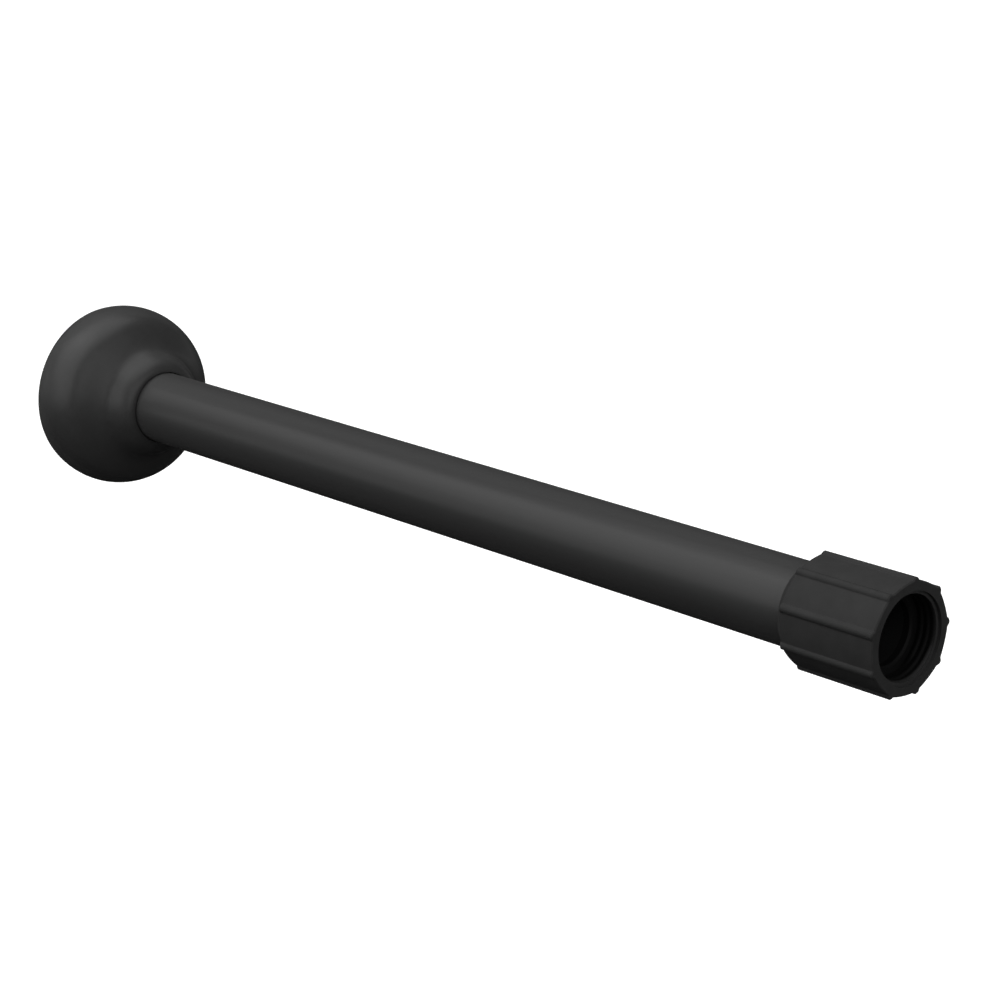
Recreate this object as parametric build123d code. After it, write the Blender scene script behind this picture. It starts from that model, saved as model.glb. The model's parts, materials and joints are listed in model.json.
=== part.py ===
from build123d import *
import math
import os

# Straight shower arm: a plastic pipe with a loose bell flange at the wall and a ribbed socket at the outlet.
# The origin is on the pipe's axis in the plane of the wall. +X runs out along the arm and +Z is up.
# All sizes are in millimetres.

# Pipe
reach = 316.3              # from the wall to the mouth of the outlet socket
pipe_diameter = 21.3       # outside diameter of a half inch pipe
pipe_wall = 2.5
pipe_end_chamfer = 0.6     # inside edge of the pipe at its wall end

# Half inch pipe thread, left plain at its largest diameter
thread_diameter = 20.955
wall_thread_reach = 15.0   # part of the male thread that goes into the wall
wall_thread_runout = 3.0   # part of the male thread in front of the wall
wall_thread_chamfer = 1.2

# Bell flange
flange_diameter = 55.4     # at its widest
flange_depth = 28.8        # from the wall to the front of the collar
flange_wall = 2.0
flange_clearance = 0.3     # between the pipe and the flange's hole, all round
belt_height = 5.9          # widest place above the wall
collar_length = 9.9        # from the shelf round the collar to the collar's front
collar_taper = 23.6        # degrees between the collar's side and the axis
collar_lip = 2.5           # sharp front edge of the collar outside the hole
hole_length = 7.0          # of the hole that guides the pipe, from the collar's front
shelf_width = 5.0          # from the collar's sharp foot to the bun's sharp edge
brow_setback = 1.3         # where the bun turns into the S curve, below the shelf
cove_setback = 1.6         # where the S curve ends on the collar's side, from its foot
shoulder_setback = 2.2     # where the collar's soft front edge starts, from the sharp edge
hollow_side = 12.5         # how far the hollow's drafted side runs in from the rim

# Outlet coupling
coupling_length = 29.8
coupling_wall = 2.9        # over the pipe, at the middle of a facet
facet_crown = 25.0         # radius of the slightly rounded facets
rib_count = 9
rib_turn = 5.9             # degrees from +Z to the first rib, towards +Y
rib_width = 2.3
rib_height = 0.95          # crest above the middle of a facet
rib_root_round = 0.4
rib_end_length = 0.15      # slope at the ribs' back ends
back_lip = 0.6             # flat ring at the coupling's back edge
back_bevel_length = 2.6
front_chamfer = 0.3
socket_depth = 6.3         # from the mouth to the pipe stop
mouth_recess = 0.82        # mouth's edge outside the thread, all round
mouth_recess_depth = 0.9
stop_thickness = 2.2       # pipe stop, flush with the pipe's bore
stop_chamfer = 0.5         # front inside edge of the pipe stop
glue_gap = 0.05            # film between the pipe and the coupling

# Sizes that follow
pipe_radius = pipe_diameter / 2
bore_radius = pipe_radius - pipe_wall
thread_radius = thread_diameter / 2
pipe_end = reach - socket_depth - stop_thickness
hole_radius = pipe_radius + flange_clearance
flange_radius = flange_diameter / 2
collar_slope = math.tan(math.radians(collar_taper))
front_radius = hole_radius + collar_lip
foot_radius = front_radius + collar_length * collar_slope
shelf = flange_depth - collar_length
brow_rise = shelf - belt_height
brow_drop = flange_radius - foot_radius - shelf_width
bun_radius = (brow_rise**2 + brow_drop**2) / (2 * brow_drop)
bun_centre = Vector(belt_height, flange_radius - bun_radius)
coupling_back = reach - coupling_length
facet_radius = max(pipe_radius, thread_radius) + coupling_wall
rib_crest = facet_radius + rib_height


def turned(*points):
    """Solid of revolution about the X axis from its half section, given as (x, radius) points."""
    return revolve(make_face(Polyline(*points, close=True)), Axis.X)


def arc_about(centre, start, end):
    """The shorter arc about a centre from start to end."""
    radius = (start - centre).length
    middle = centre + ((start - centre) + (end - centre)).normalized() * radius
    return ThreePointArc(start, middle, end)


def make_arm_tube():
    """Pipe from its threaded wall end to the stop inside the coupling."""
    return turned(
        (-wall_thread_reach, bore_radius + pipe_end_chamfer),
        (-wall_thread_reach, thread_radius - wall_thread_chamfer),
        (wall_thread_chamfer - wall_thread_reach, thread_radius),
        (wall_thread_runout, thread_radius),
        (wall_thread_runout, pipe_radius),
        (pipe_end, pipe_radius),
        (pipe_end, bore_radius),
        (pipe_end_chamfer - wall_thread_reach, bore_radius),
    )


def on_bun(x, inset):
    """Point of the bun's round at x, moved inwards by inset."""
    return Vector(x, bun_centre.Y + math.sqrt((bun_radius - inset) ** 2 - (x - bun_centre.X) ** 2))


def on_collar(x, inset):
    """Point of the collar's tapered side at x, moved inwards by inset."""
    return Vector(x, front_radius + (flange_depth - x) * collar_slope - inset * math.hypot(1, collar_slope))


def bell_outside():
    """Solid inside the bell's outside: a round bun that runs through an S curve into a tapered collar."""
    rim = on_bun(0, 0)
    belt = on_bun(belt_height, 0)
    bun_end = on_bun(shelf - brow_setback, 0)
    spoke = (bun_end - bun_centre).normalized()
    brow = bun_end + Vector(spoke.Y, -spoke.X) * (brow_setback / spoke.Y)
    foot = on_collar(shelf, 0)
    front = on_collar(flange_depth, 0)
    side = (front - foot).normalized()
    collar_start = foot + side * cove_setback
    collar_end = front - side * shoulder_setback
    land = front - Vector(0, shoulder_setback)
    outline = [
        arc_about(bun_centre, rim, belt),
        arc_about(bun_centre, belt, bun_end),
        Bezier(bun_end, brow, foot, collar_start),
        Line(collar_start, collar_end),
        Bezier(collar_end, front, land),
        Polyline(land, (front.X, 0), (0, 0), rim),
    ]
    return revolve(make_face(outline), Axis.X)


def bell_hollow():
    """Solid that fills the bell's inside: straight tapers, at least one wall in from the outside."""
    rim = on_bun(0, flange_wall)
    side_end = on_bun(hollow_side, flange_wall)
    brow = on_bun(shelf - flange_wall, flange_wall)
    foot = on_collar(shelf - flange_wall, flange_wall)
    front = on_collar(flange_depth - hole_length, flange_wall)
    return turned(rim, side_end, brow, foot, front, (front.X, 0), (0, 0))


def make_wall_flange():
    """Hollow bell, open at the wall, with a hole for the pipe."""
    hole = turned((0, 0), (0, hole_radius), (flange_depth, hole_radius), (flange_depth, 0))
    return bell_outside() - bell_hollow() - hole


def coupling_section():
    """Cross section of the grip: crowned facets with a round rib on each corner between them."""
    facet = Pos(facet_radius - facet_crown, 0) * Circle(facet_crown)
    rib = Pos(rib_crest - rib_width / 2, 0) * Circle(rib_width / 2)
    pitch = 360 / rib_count
    core = Rot(0, 0, pitch / 2) * facet
    for index in range(1, rib_count):
        core &= Rot(0, 0, pitch * (index + 0.5)) * facet
    grip = core + [Rot(0, 0, pitch * index) * rib for index in range(rib_count)]
    return Rot(0, 0, 90 - rib_turn) * fillet(grip.vertices(), rib_root_round)


def make_outlet_coupling():
    """Ribbed sleeve, bevelled at its back, with a socket for the pipe and a stepped mouth for the outlet."""
    socket_radius = pipe_radius + glue_gap
    bevel_end = coupling_back + back_bevel_length
    stop_front = pipe_end + stop_thickness
    ledge = reach - mouth_recess_depth
    grip = extrude(Plane.YZ.offset(coupling_back) * coupling_section(), coupling_length)
    envelope = turned(
        (coupling_back, 0),
        (coupling_back, socket_radius + back_lip),
        (bevel_end, facet_radius),
        (bevel_end + rib_end_length, rib_crest),
        (reach, rib_crest),
        (reach, 0),
    )
    passage = turned(
        (coupling_back, 0),
        (coupling_back, socket_radius),
        (pipe_end, socket_radius),
        (pipe_end, bore_radius),
        (stop_front - stop_chamfer, bore_radius),
        (stop_front, bore_radius + stop_chamfer),
        (stop_front, thread_radius),
        (ledge, thread_radius),
        (ledge, thread_radius + mouth_recess),
        (reach, thread_radius + mouth_recess),
        (reach, 0),
    )
    body = (grip & envelope) - passage
    front_edge = body.faces().sort_by(Axis.X)[-1].outer_wire().edges()
    return chamfer(front_edge, front_chamfer)


parts = {
    "arm_tube": make_arm_tube(),
    "wall_flange": make_wall_flange(),
    "outlet_coupling": make_outlet_coupling(),
}
os.makedirs("parts", exist_ok=True)
for name, part in parts.items():
    export_step(part, f"parts/{name}.step")
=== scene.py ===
import json
import math

import bmesh
import bpy
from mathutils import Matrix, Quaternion, Vector


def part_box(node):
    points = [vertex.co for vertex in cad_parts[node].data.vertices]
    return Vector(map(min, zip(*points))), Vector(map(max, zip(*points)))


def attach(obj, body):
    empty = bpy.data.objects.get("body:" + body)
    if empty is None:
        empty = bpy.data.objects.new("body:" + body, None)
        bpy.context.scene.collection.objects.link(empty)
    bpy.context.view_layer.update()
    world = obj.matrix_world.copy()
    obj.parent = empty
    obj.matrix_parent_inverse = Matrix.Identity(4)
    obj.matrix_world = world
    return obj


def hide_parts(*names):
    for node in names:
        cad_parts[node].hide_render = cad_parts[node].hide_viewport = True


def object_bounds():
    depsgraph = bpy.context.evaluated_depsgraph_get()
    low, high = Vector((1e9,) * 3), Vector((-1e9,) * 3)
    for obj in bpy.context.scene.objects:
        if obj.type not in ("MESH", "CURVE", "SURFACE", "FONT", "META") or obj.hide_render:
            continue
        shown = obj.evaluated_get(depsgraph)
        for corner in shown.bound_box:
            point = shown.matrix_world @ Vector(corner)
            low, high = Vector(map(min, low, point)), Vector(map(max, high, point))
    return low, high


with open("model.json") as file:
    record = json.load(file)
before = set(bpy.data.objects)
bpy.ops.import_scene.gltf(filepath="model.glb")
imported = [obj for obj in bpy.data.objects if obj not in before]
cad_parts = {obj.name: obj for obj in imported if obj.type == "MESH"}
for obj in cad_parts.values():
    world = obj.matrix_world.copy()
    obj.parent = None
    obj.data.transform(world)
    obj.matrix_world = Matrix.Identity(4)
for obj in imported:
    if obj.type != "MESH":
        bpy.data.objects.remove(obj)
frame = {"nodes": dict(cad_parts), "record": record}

# Looks of a straight black plastic shower arm. Lengths are in metres, and angles in degrees.
cad_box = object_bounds()
MM = 0.001

# Sizes read from the frame
mounts = {mount["name"]: mount for mount in frame["record"]["mounts"]}
tube_low, tube_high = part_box("arm_tube")
flange_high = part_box("wall_flange")[1]
mouth = cad_box[1][0]          # the outlet's open end
pipe_radius = tube_high.y
thread_radius = mounts["wall_thread"]["dims"]["r_mm"] * MM
outlet_thread_length = mounts["outlet_thread"]["dims"]["length_mm"] * MM
outlet_thread_middle = mounts["outlet_thread"]["pos_m"][0]
outlet_thread_radius = mounts["outlet_thread"]["dims"]["r_mm"] * MM

# Meshes
weld_distance = 0.001 * MM
sharp_angle = 40.0             # edges that bend more stay sharp
ridge_sharp_angle = 60.0       # the same on the female thread

# Pipe
pipe_wall = 2.5 * MM
pipe_end_chamfer = 0.6 * MM    # inside edge at the wall end
pipe_segments = 128

# Bell flange
flange_wall = 2.0 * MM
flange_clearance = 0.3 * MM    # between the pipe and the flange's hole
belt_height = 5.9 * MM         # widest place above the wall
collar_length = 9.9 * MM       # from the shelf round the collar to the collar's front
collar_taper = 23.6            # between the collar's side and the axis
collar_lip = 2.5 * MM          # sharp front edge of the collar outside the hole
hole_length = 7.0 * MM
shelf_width = 5.0 * MM         # from the collar's sharp foot to the bun's sharp edge
brow_setback = 4.5 * MM        # where the bun turns into the S curve, softer than in the solid
cove_setback = 4.2 * MM        # where the S curve ends on the collar's side
shoulder_setback = 4.0 * MM    # where the collar's soft front edge starts on its side
land_setback = 2.3 * MM        # where it ends on the collar's front
hollow_side = 12.5 * MM        # how far the hollow's drafted side runs in from the rim
flange_shelf = flange_high.x - collar_length
flange_segments = 192
curve_steps = 24               # mesh steps along each curve of the flange's outline
tangent_step = MM / 100        # between the two points that give the bun's slope

# Half inch pipe thread, right-handed
thread_pitch = 1.814 * MM
thread_depth = 1.162 * MM
thread_steepness = 1.3         # of the rounded thread's flanks, where 1 is a plain wave
thread_rows = 14               # mesh rows in one pitch
thread_end = 3.0 * MM          # where the male thread stops in front of the wall
thread_chamfer = 1.2 * MM
thread_runout = 1.6 * MM       # length over which the male thread fades into the pipe
ridge_segments = 96            # mesh steps in one turn of the female thread
ridge_foot = 1.5 * MM          # width of the female ridge at the socket's wall
ridge_crest = 0.5 * MM         # width of its top, half of which is flat
ridge_rounding = 0.1 * MM      # how far the ridge's shoulders stand out beside its top
ridge_height = 0.35 * MM       # moulded lower than the thread's full depth
shoulder_height = 0.8          # share of the ridge's height at its shoulders
ridge_sink = 0.06 * MM         # how deep the ridge is set in the socket's wall
ridge_taper = 0.08             # turns over which the ridge rises at each end
ridge_end_turn = -0.03         # where the ridge ends at the mouth, from +Y towards +Z

# Plastic
mottle_scale = 180.0           # waves of the mottling in a metre
mottle_detail = 5.0
mottle_roughness = 0.6
mottle_range = (0.30, 0.70)    # noise at the darkest and the palest colour
gloss_spread = 0.05            # how far the mottling moves the roughness either way
edge_facing = (0.30, 0.75)     # how far a surface is turned away where its gloss starts and stops fading
grain_detail = 3.0
grain_roughness = 0.55
grain_strength = 0.5

# Painted shade inside the pipe's bore and the outlet socket: the share of the colour that is left, and
# where it starts and stops growing to all of it
bore_shade_share = 0.3
bore_shade_radii = (8.3 * MM, 9.0 * MM)
bore_shade_places = (tube_high.x, mouth)
socket_shade_share = 0.12
socket_shade_radii = (11.15 * MM, 11.35 * MM)
socket_shade_places = (mouth - 2.0 * MM, mouth - 1.1 * MM)

# Camera, at the photograph's viewing angle
camera_place = Vector((0.6508, -0.4344, 0.1918))
camera_azimuth = -42.68        # of the way from the picture's middle to the camera
camera_elevation = 16.40       # of the same way
camera_sensor = 36.0           # millimetres
camera_lens = 91.37            # millimetres

# Studio
far_lamp_distance = 3.0        # only where the lamp stands: its light is the same from any distance
floor_height = -1.0
floor_width = 60.0
floor_colour = (0.80, 0.80, 0.80, 1.0)
floor_glow = 0.6               # part of the floor's white that needs no lamp
card_colour = (0.02, 0.02, 0.02, 1.0)
card_lift = 0.002              # height of the dark cards above the floor
card_reach = 14.0              # how far the cards run to each side
runway_start = 2.2             # where the white floor between the cards starts, from below the camera
runway_flare = 0.22            # its half width for each metre from below the camera
fill_level = 0.01              # light that comes from all around
sky_level = 0.12               # surroundings above the horizon's white band, as gloss shows them
band_edges = (0.03, 0.15)      # sines of the heights where the white band starts and stops fading


def make_piece(name, mesh, crease=sharp_angle):
    """Object of a bmesh, smooth but for edges that bend more than an angle."""
    data = bpy.data.meshes.new(name)
    bmesh.ops.recalc_face_normals(mesh, faces=mesh.faces)
    mesh.to_mesh(data)
    mesh.free()
    data.shade_smooth()
    data.set_sharp_from_angle(angle=math.radians(crease))
    piece = bpy.data.objects.new(name, data)
    bpy.context.scene.collection.objects.link(piece)
    return piece


def set_material(piece, material):
    piece.data.materials.clear()
    piece.data.materials.append(material)


def clamp(value, low, high):
    return max(low, min(high, value))


def smooth_step(share):
    share = clamp(share, 0.0, 1.0)
    return share * share * (3 - 2 * share)


def direction(azimuth, elevation):
    """Unit vector that is turned from +X towards +Y, and then up."""
    turn = math.radians(azimuth)
    height = math.radians(elevation)
    level = math.cos(height)
    return Vector((level * math.cos(turn), level * math.sin(turn), math.sin(height)))


def round_the_axis(x, radius, turns):
    """Point at a distance from the X axis, turned from +Y towards +Z."""
    angle = 2 * math.pi * turns
    return Vector((x, radius * math.cos(angle), radius * math.sin(angle)))


def ring(x, radius, segments):
    """Points of one full turn, the last in the first one's place."""
    return [round_the_axis(x, radius, segment / segments) for segment in range(segments + 1)]


def fill_grid(mesh, rows):
    """Quads between rows of points, with as many points in each row."""
    grid = [[mesh.verts.new(point) for point in row] for row in rows]
    for row, next_row in zip(grid, grid[1:]):
        for corner in range(len(row) - 1):
            mesh.faces.new((row[corner], row[corner + 1], next_row[corner + 1], next_row[corner]))


def thread_height(share):
    """Height of the rounded thread form over its root, from 0 to 1, at a share of the pitch."""
    slope = thread_steepness * math.cos(2 * math.pi * share)
    return 0.5 + 0.5 * math.sin(math.pi / 2 * clamp(slope, -1, 1))


def male_thread_radius(x, share):
    """Distance of the thread's surface from the axis, with a chamfered start and a faded end."""
    runout = smooth_step((x - thread_end + thread_runout) / thread_runout)
    cut = thread_depth * (1 - thread_height(share)) * (1 - runout)
    chamfer = thread_radius - thread_chamfer + (x - tube_low.x)
    return min(thread_radius - cut, chamfer)


def male_thread_rows():
    """Rows of points along the thread's helix, cut off square at both ends."""
    step = thread_pitch / thread_rows
    count = math.ceil((thread_end - tube_low.x + thread_pitch) / step)
    for row in range(count + 1):
        start = tube_low.x - thread_pitch + row * step
        points = []
        for segment in range(pipe_segments + 1):
            turns = segment / pipe_segments
            x = clamp(start + turns * thread_pitch, tube_low.x, thread_end)
            points.append(round_the_axis(x, male_thread_radius(x, row / thread_rows), turns))
        yield points


def pipe_rows():
    """Rings of points along the pipe's outside, round its end and back through its bore."""
    bore_radius = pipe_radius - pipe_wall
    outline = (
        (thread_end, thread_radius),
        (thread_end, pipe_radius),
        (tube_high.x, pipe_radius),
        (tube_high.x, bore_radius),
        (tube_low.x + pipe_end_chamfer, bore_radius),
        (tube_low.x, bore_radius + pipe_end_chamfer),
        (tube_low.x, thread_radius - thread_chamfer),
    )
    return [ring(x, radius, pipe_segments) for x, radius in outline]


def make_threaded_pipe():
    """The pipe with its male thread cut in."""
    mesh = bmesh.new()
    fill_grid(mesh, male_thread_rows())
    fill_grid(mesh, pipe_rows())
    bmesh.ops.remove_doubles(mesh, verts=mesh.verts, dist=weld_distance)
    bmesh.ops.dissolve_degenerate(mesh, edges=mesh.edges, dist=weld_distance)
    return make_piece("threaded_pipe", mesh)


def on_collar(x, inset):
    """Point (x, radius) of the collar's tapered side, moved inwards by inset."""
    slope = math.tan(math.radians(collar_taper))
    front_radius = pipe_radius + flange_clearance + collar_lip
    return Vector((x, front_radius + (flange_high.x - x) * slope - inset * math.hypot(1, slope)))


def on_bun(x, inset):
    """Point (x, radius) of the bun's round, moved inwards by inset."""
    foot_radius = on_collar(flange_shelf, 0).y
    rise = flange_shelf - belt_height
    drop = flange_high.y - foot_radius - shelf_width
    bun_radius = (rise**2 + drop**2) / (2 * drop)
    height = math.sqrt((bun_radius - inset) ** 2 - (x - belt_height) ** 2)
    return Vector((x, flange_high.y - bun_radius + height))


def bezier(*controls):
    """Points along a Bezier curve, with its ends."""
    for step in range(curve_steps + 1):
        points = controls
        while len(points) > 1:
            points = [start.lerp(end, step / curve_steps) for start, end in zip(points, points[1:])]
        yield points[0]


def bell_outline():
    """Points (x, radius) round the flange's section: outside, hole and back through the hollow."""
    bun_end = flange_shelf - brow_setback
    start = on_bun(bun_end, 0)
    end = on_bun(bun_end + tangent_step, 0)
    brow = start + (end - start) * (brow_setback / (end.x - start.x))
    foot = on_collar(flange_shelf, 0)
    front = on_collar(flange_high.x, 0)
    side = (front - foot).normalized()
    land = front - Vector((0, land_setback))
    hole_radius = pipe_radius + flange_clearance
    hole_back = flange_high.x - hole_length
    return [
        *(on_bun(bun_end * step / curve_steps, 0) for step in range(curve_steps)),
        *bezier(start, brow, foot, foot + side * cove_setback),
        *bezier(front - side * shoulder_setback, front, land),
        (flange_high.x, hole_radius),
        (hole_back, hole_radius),
        on_collar(hole_back, flange_wall),
        on_collar(flange_shelf - flange_wall, flange_wall),
        on_bun(flange_shelf - flange_wall, flange_wall),
        on_bun(hollow_side, flange_wall),
        on_bun(0, flange_wall),
        on_bun(0, 0),
    ]


def make_bell_flange():
    """The flange with soft curves between its bun, its shelf and its collar."""
    mesh = bmesh.new()
    fill_grid(mesh, [ring(x, radius, flange_segments) for x, radius in bell_outline()])
    bmesh.ops.remove_doubles(mesh, verts=mesh.verts, dist=weld_distance)
    return make_piece("bell_flange", mesh)


def make_outlet_thread():
    """The female thread's ridge on the wall of the outlet socket."""
    mesh = bmesh.new()
    start = outlet_thread_middle - outlet_thread_length / 2 + ridge_foot / 2
    length = outlet_thread_length - ridge_foot
    turns = length / thread_pitch
    steps = math.ceil(turns * ridge_segments)
    foot = outlet_thread_radius + ridge_sink
    shoulder_reach = ridge_crest / 2 + ridge_rounding
    rows = []
    for step in range(steps + 1):
        turn = turns * step / steps
        height = ridge_height * smooth_step(min(turn, turns - turn) / ridge_taper)
        crest = outlet_thread_radius - height
        shoulder = outlet_thread_radius - shoulder_height * height
        section = (
            (-ridge_foot / 2, foot),
            (-shoulder_reach, shoulder),
            (-ridge_crest / 4, crest),
            (ridge_crest / 4, crest),
            (shoulder_reach, shoulder),
            (ridge_foot / 2, foot),
            (-ridge_foot / 2, foot),
        )
        middle = start + turn * thread_pitch
        place = ridge_end_turn + turn - turns
        rows.append([round_the_axis(middle + across, radius, place) for across, radius in section])
    fill_grid(mesh, rows)
    bmesh.ops.remove_doubles(mesh, verts=mesh.verts, dist=weld_distance)
    bmesh.ops.holes_fill(mesh, edges=mesh.edges, sides=len(section) - 1)
    return make_piece("outlet_thread", mesh, ridge_sharp_angle)


def add_node(tree, kind, **values):
    """New shader node with input values by name."""
    node = tree.nodes.new(kind)
    for name, value in values.items():
        node.inputs[name].default_value = value
    return node


def add_range(tree, value, ends, new_ends=(0.0, 1.0), curve="LINEAR"):
    """Socket that runs between the new ends while a value runs between its own."""
    node = tree.nodes.new("ShaderNodeMapRange")
    node.interpolation_type = curve
    for name, end in zip(("From Min", "From Max", "To Min", "To Max"), (*ends, *new_ends)):
        node.inputs[name].default_value = end
    tree.links.new(value, node.inputs["Value"])
    return node.outputs["Result"]


def add_maximum(tree, first, second):
    """Socket with the greater of two values."""
    node = tree.nodes.new("ShaderNodeMath")
    node.operation = "MAXIMUM"
    tree.links.new(first, node.inputs[0])
    tree.links.new(second, node.inputs[1])
    return node.outputs["Value"]


def add_vector_math(tree, operation, vector):
    """New vector math node on a vector."""
    node = tree.nodes.new("ShaderNodeVectorMath")
    node.operation = operation
    tree.links.new(vector, node.inputs[0])
    return node


def seen_directly(tree):
    """Socket that is 1 for camera, glossy and transmission rays, and 0 for light that falls on things."""
    path = tree.nodes.new("ShaderNodeLightPath")
    seen = add_maximum(tree, path.outputs["Is Camera Ray"], path.outputs["Is Glossy Ray"])
    return add_maximum(tree, seen, path.outputs["Is Transmission Ray"])


def make_plastic(name, greys, roughness, specular, stretch, grain_size, grain_depth):
    """Black plastic: faint mottling, uneven gloss and a fine grain, all drawn out along X by stretch."""
    material = bpy.data.materials.new(name)
    material.use_nodes = True
    tree = material.node_tree
    shader = tree.nodes["Principled BSDF"]
    shader.inputs["Specular IOR Level"].default_value = specular
    place = tree.nodes.new("ShaderNodeTexCoord")
    mapping = add_node(tree, "ShaderNodeMapping", Scale=(1 / stretch, 1, 1))
    tree.links.new(place.outputs["Object"], mapping.inputs["Vector"])

    mottle = add_node(
        tree, "ShaderNodeTexNoise", Scale=mottle_scale, Detail=mottle_detail, Roughness=mottle_roughness,
    )
    tree.links.new(mapping.outputs["Vector"], mottle.inputs["Vector"])
    colours = tree.nodes.new("ShaderNodeValToRGB")
    for stop, position, grey in zip(colours.color_ramp.elements, mottle_range, greys):
        stop.position = position
        stop.color = (grey, grey, grey, 1.0)
    tree.links.new(mottle.outputs["Fac"], colours.inputs["Fac"])
    tree.links.new(colours.outputs["Color"], shader.inputs["Base Color"])

    uneven = (roughness - gloss_spread, roughness + gloss_spread)
    plain = add_range(tree, mottle.outputs["Fac"], (0.0, 1.0), uneven)
    weight = add_node(tree, "ShaderNodeLayerWeight", Blend=0.5)
    edge = add_range(tree, weight.outputs["Facing"], edge_facing)
    tree.links.new(add_maximum(tree, plain, edge), shader.inputs["Roughness"])

    grain = add_node(
        tree, "ShaderNodeTexNoise", Scale=1 / grain_size, Detail=grain_detail, Roughness=grain_roughness,
    )
    tree.links.new(mapping.outputs["Vector"], grain.inputs["Vector"])
    bump = add_node(tree, "ShaderNodeBump", Strength=grain_strength, Distance=grain_depth)
    tree.links.new(grain.outputs["Fac"], bump.inputs["Height"])
    tree.links.new(bump.outputs["Normal"], shader.inputs["Normal"])
    return material


def paint_hole_shade(material, share, radii, places):
    """Painted shade in a hole along the X axis: the base colour is darkened deep inside, where less light
    falls.

    A share of the colour is left inside the first radius and before the first place along X,
    and all of it outside the second radius or past the second place.
    """
    tree = material.node_tree
    base = tree.nodes["Principled BSDF"].inputs["Base Color"]
    place = tree.nodes.new("ShaderNodeTexCoord").outputs["Object"]
    axes = tree.nodes.new("ShaderNodeSeparateXYZ")
    tree.links.new(place, axes.inputs["Vector"])
    across = add_vector_math(tree, "MULTIPLY", place)
    across.inputs[1].default_value = (0.0, 1.0, 1.0)
    radius = add_vector_math(tree, "LENGTH", across.outputs["Vector"])
    outside = add_range(tree, radius.outputs["Value"], radii)
    depth = add_range(tree, axes.outputs["X"], places, (share, 1.0))
    darker = add_vector_math(tree, "SCALE", base.links[0].from_socket)
    tree.links.new(add_maximum(tree, outside, depth), darker.inputs["Scale"])
    tree.links.new(darker.outputs["Vector"], base)


def make_paint(name, colour, glow=0.0):
    """Dull paint. With a glow it also shines by itself, for rays that see it directly."""
    material = bpy.data.materials.new(name)
    material.use_nodes = True
    tree = material.node_tree
    tree.nodes.clear()
    surface = add_node(tree, "ShaderNodeBsdfDiffuse", Color=colour).outputs["BSDF"]
    if glow:
        shine = tree.nodes.new("ShaderNodeEmission")
        strength = add_range(tree, seen_directly(tree), (0.0, 1.0), (0.0, glow))
        tree.links.new(strength, shine.inputs["Strength"])
        both = tree.nodes.new("ShaderNodeAddShader")
        tree.links.new(surface, both.inputs[0])
        tree.links.new(shine.outputs["Emission"], both.inputs[1])
        surface = both.outputs["Shader"]
    output = tree.nodes.new("ShaderNodeOutputMaterial")
    tree.links.new(surface, output.inputs["Surface"])
    return material


def make_floor():
    """Wide pale floor far below the arm."""
    mesh = bmesh.new()
    bmesh.ops.create_grid(mesh, x_segments=1, y_segments=1, size=floor_width / 2)
    floor = make_piece("floor", mesh)
    floor.location.z = floor_height
    set_material(floor, make_paint("pale_floor", floor_colour, floor_glow))


def make_cards():
    """Dark cards on the floor beside the picture, so that the plastic doesn't mirror white floor there."""
    near = runway_start
    far = card_reach
    outlines = [((-far, -far), (near, -far), (near, far), (-far, far))]
    for side in (1, -1):
        inner_near = (near, side * near * runway_flare)
        inner_far = (far, side * far * runway_flare)
        outlines.append((inner_near, inner_far, (far, side * far), (near, side * far)))
    mesh = bmesh.new()
    for outline in outlines:
        mesh.faces.new([mesh.verts.new((ahead, aside, 0.0)) for ahead, aside in outline])
    cards = make_piece("dark_cards", mesh)
    cards.location = (camera_place.x, camera_place.y, floor_height + card_lift)
    cards.rotation_euler.z = math.radians(camera_azimuth + 180)
    cards.visible_camera = False
    cards.visible_shadow = False
    set_material(cards, make_paint("dark_card", card_colour))


def make_world():
    """White band round the horizon under a darker sky, which gives hardly any light."""
    world = bpy.data.worlds.new("studio")
    world.use_nodes = True
    tree = world.node_tree
    background = tree.nodes["Background"]
    background.inputs["Color"].default_value = (1.0, 1.0, 1.0, 1.0)
    place = tree.nodes.new("ShaderNodeTexCoord")
    axes = tree.nodes.new("ShaderNodeSeparateXYZ")
    tree.links.new(place.outputs["Generated"], axes.inputs["Vector"])
    sky = add_range(tree, axes.outputs["Z"], band_edges, (1.0, sky_level), "SMOOTHSTEP")
    level = add_range(tree, seen_directly(tree), (0.0, 1.0), (fill_level, 1.0))
    tree.links.new(sky, level.node.inputs["To Max"])
    tree.links.new(level, background.inputs["Strength"])
    bpy.context.scene.world = world


def place_lamp(light, azimuth, elevation, distance, roll=0.0):
    """Lamp that shines on the arm from a direction, rolled about it."""
    lamp = bpy.data.objects.new(light.name, light)
    back = direction(azimuth, elevation)
    rolled = Quaternion((0, 0, 1), math.radians(roll))
    lamp.rotation_euler = (back.to_track_quat("Z", "Y") @ rolled).to_euler()
    lamp.location = back * distance
    lamp.visible_camera = False
    bpy.context.scene.collection.objects.link(lamp)


def add_far_lamp(name, azimuth, elevation, spread, level):
    """Round lamp far away: how wide it looks, and how white it makes a white surface that faces it."""
    light = bpy.data.lights.new(name, "SUN")
    light.angle = math.radians(spread)
    light.energy = level * math.pi
    place_lamp(light, azimuth, elevation, far_lamp_distance)


def add_softbox(name, azimuth, elevation, distance, spread, radiance, roll=0.0):
    """Rectangular lamp: how wide and how high it looks from the arm, and how bright its face is."""
    light = bpy.data.lights.new(name, "AREA")
    light.shape = "RECTANGLE"
    light.size, light.size_y = (2 * distance * math.tan(math.radians(angle / 2)) for angle in spread)
    light.energy = radiance * math.pi * light.size * light.size_y
    place_lamp(light, azimuth, elevation, distance, roll)


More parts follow.
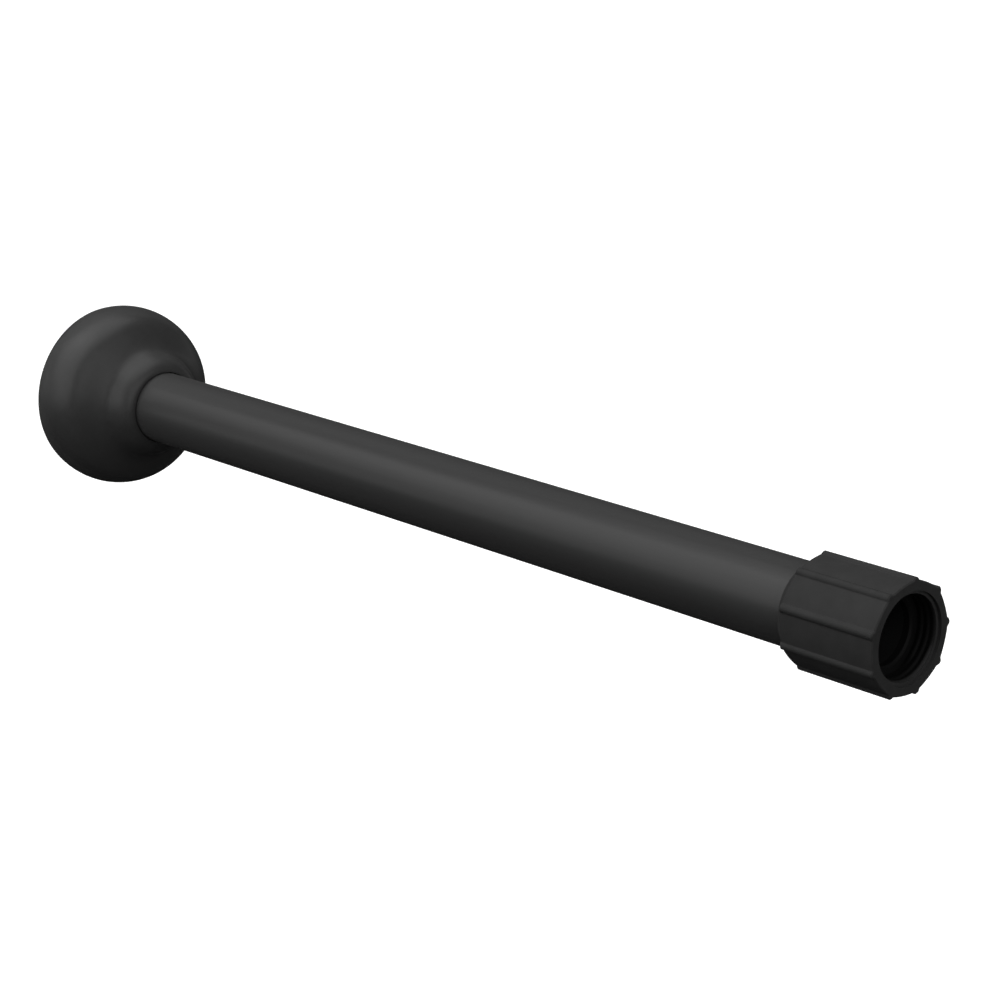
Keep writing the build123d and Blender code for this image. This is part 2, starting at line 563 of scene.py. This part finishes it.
def make_lamps():
    """A tilted softbox at the picture's left, a wide one before the outlet and a round lamp overhead."""
    add_softbox(
        "left_softbox", azimuth=-117.0, elevation=32.0, distance=2.0,
        spread=(76.0, 43.0), radiance=2.6, roll=-49.0,
    )
    add_softbox(
        "front_softbox", azimuth=-18.0, elevation=22.0, distance=5.0,
        spread=(70.0, 40.0), radiance=2.1,
    )
    add_far_lamp("top_lamp", azimuth=-144.7, elevation=82.2, spread=67.6, level=0.716)


def make_camera():
    """Camera at its place, turned by its azimuth and elevation, with no roll."""
    data = bpy.data.cameras.new("camera")
    data.sensor_width = camera_sensor
    data.lens = camera_lens
    camera = bpy.data.objects.new("camera", data)
    camera.location = camera_place
    back = direction(camera_azimuth, camera_elevation)
    camera.rotation_euler = back.to_track_quat("Z", "Y").to_euler()
    bpy.context.scene.collection.objects.link(camera)
    bpy.context.scene.camera = camera


pipe_plastic = make_plastic(
    "pipe_plastic", greys=(0.026, 0.030), roughness=0.33, specular=0.15,
    stretch=40.0, grain_size=0.35 * MM, grain_depth=0.008 * MM,
)
flange_plastic = make_plastic(
    "flange_plastic", greys=(0.027, 0.031), roughness=0.40, specular=0.15,
    stretch=1.0, grain_size=0.40 * MM, grain_depth=0.010 * MM,
)
coupling_plastic = make_plastic(
    "coupling_plastic", greys=(0.022, 0.027), roughness=0.65, specular=0.07,
    stretch=1.0, grain_size=0.30 * MM, grain_depth=0.015 * MM,
)
# Painted shade: darker base colour inside the pipe's bore and the outlet socket
paint_hole_shade(pipe_plastic, bore_shade_share, bore_shade_radii, bore_shade_places)
paint_hole_shade(coupling_plastic, socket_shade_share, socket_shade_radii, socket_shade_places)

threaded_pipe = make_threaded_pipe()
set_material(threaded_pipe, pipe_plastic)
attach(threaded_pipe, "arm")
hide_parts("arm_tube")

outlet_thread = make_outlet_thread()
set_material(outlet_thread, coupling_plastic)
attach(outlet_thread, "arm")

bell_flange = make_bell_flange()
set_material(bell_flange, flange_plastic)
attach(bell_flange, "flange")
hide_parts("wall_flange")

set_material(frame["nodes"]["outlet_coupling"], coupling_plastic)

make_floor()
make_cards()
make_world()
make_lamps()
make_camera()
bpy.context.scene.view_settings.view_transform = "Standard"
